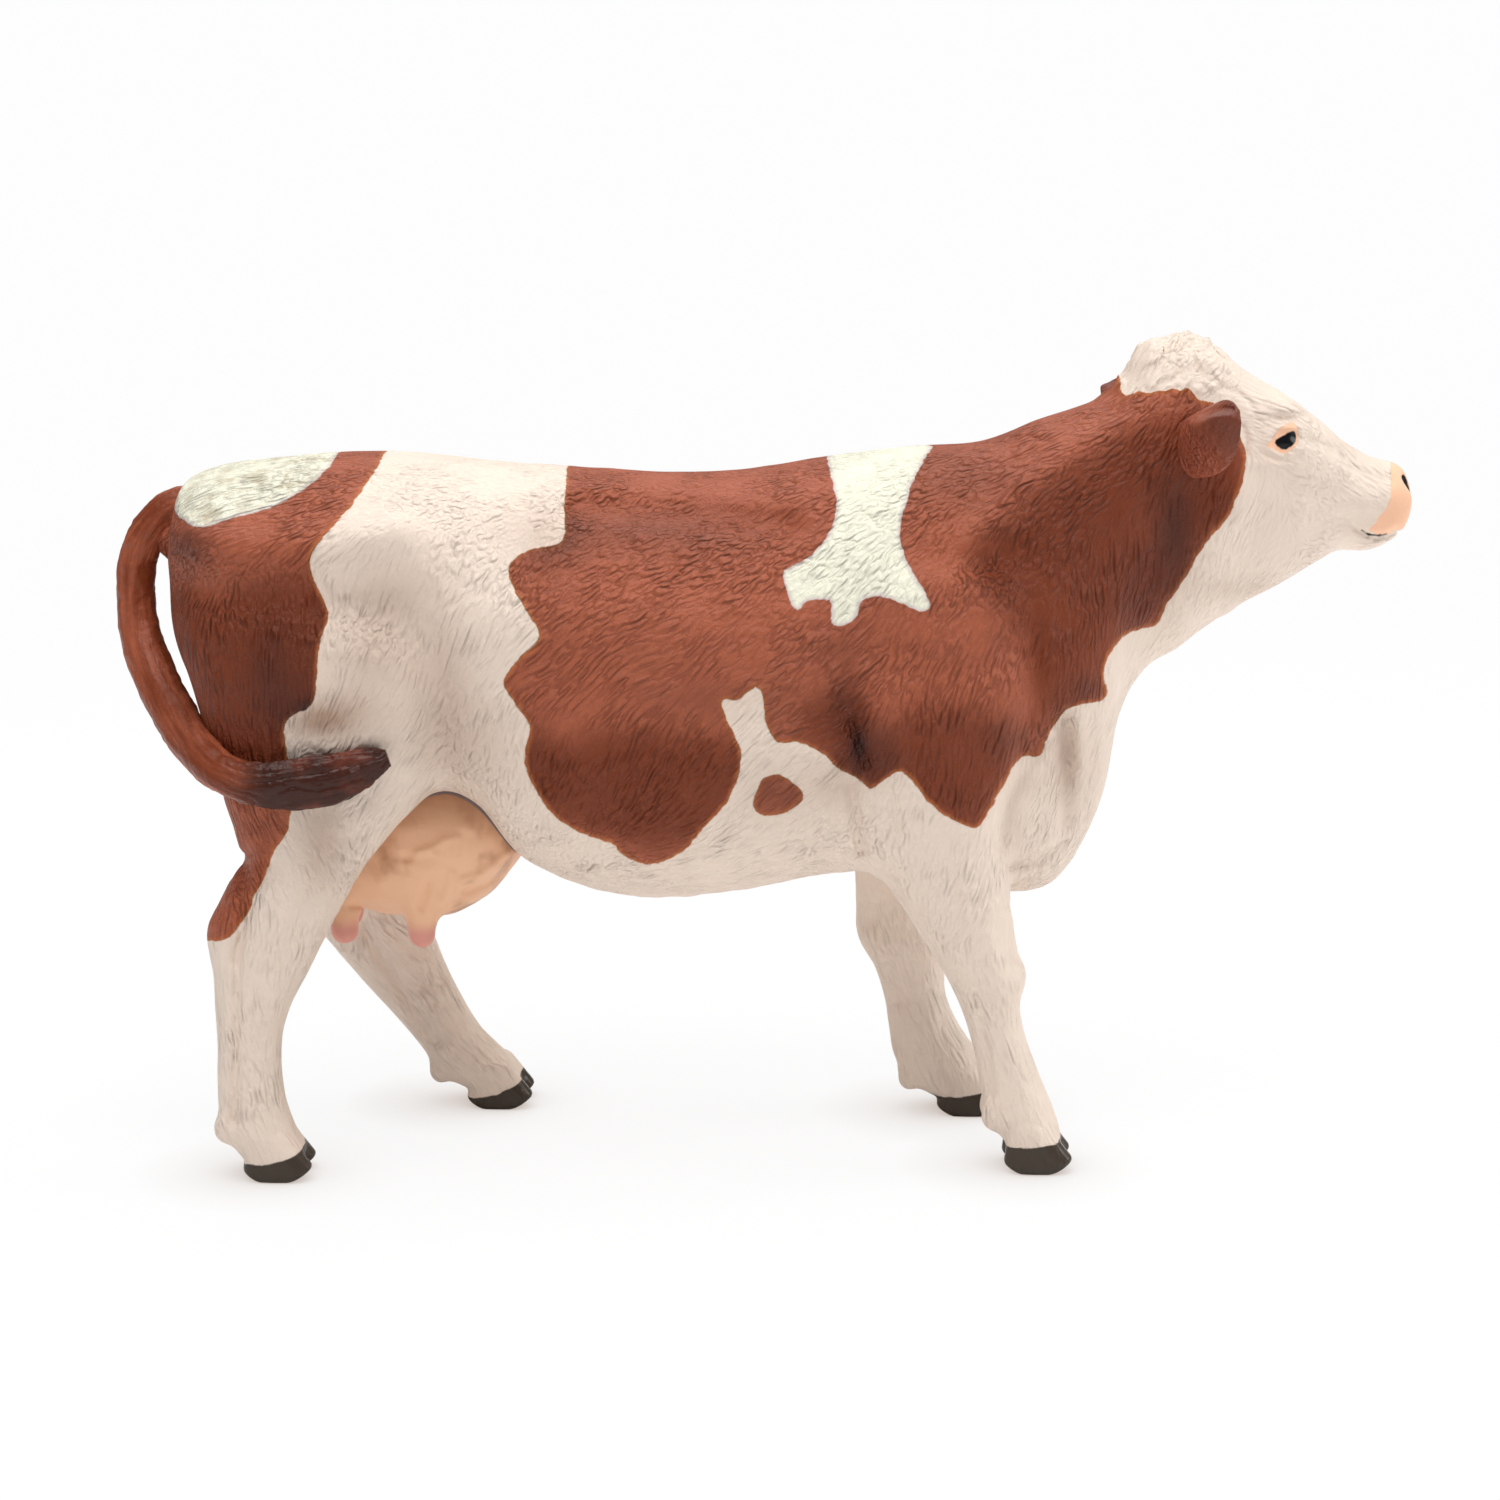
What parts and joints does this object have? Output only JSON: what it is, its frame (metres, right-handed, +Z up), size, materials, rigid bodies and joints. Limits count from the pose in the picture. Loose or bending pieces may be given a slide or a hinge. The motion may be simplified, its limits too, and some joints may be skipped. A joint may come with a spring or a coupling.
{
  "type": "cow figurine",
  "caption": "Standing dairy cow figurine in a walking pose with its head turned, an ornament and toy moulded in painted plastic that rests on its hooves.",
  "frame": {"origin": "on the ground, under the middle of the figurine's length and width", "axes": "+X points the way the cow walks, +Y to the cow's left, +Z up"},
  "size_m": [0.1403, 0.0432, 0.0887],
  "materials": {
    "coat": "satin paint, reddish brown with white patches, over a combed coat texture",
    "white_coat": "satin cream white paint, with dark grey hooves",
    "udder_skin": "satin flesh paint with pink teats",
    "tail_hair": "satin dark brown paint over a strand texture"
  },
  "bodies": {
    "root": {"trunk": "coat", "head_and_neck": "coat", "right_ear": "coat", "left_ear": "coat", "right_foreleg": "white_coat", "left_foreleg": "white_coat", "right_hind_leg": "white_coat", "left_hind_leg": "white_coat", "udder": "udder_skin", "tail": "tail_hair"}
  },
  "joints": []
}
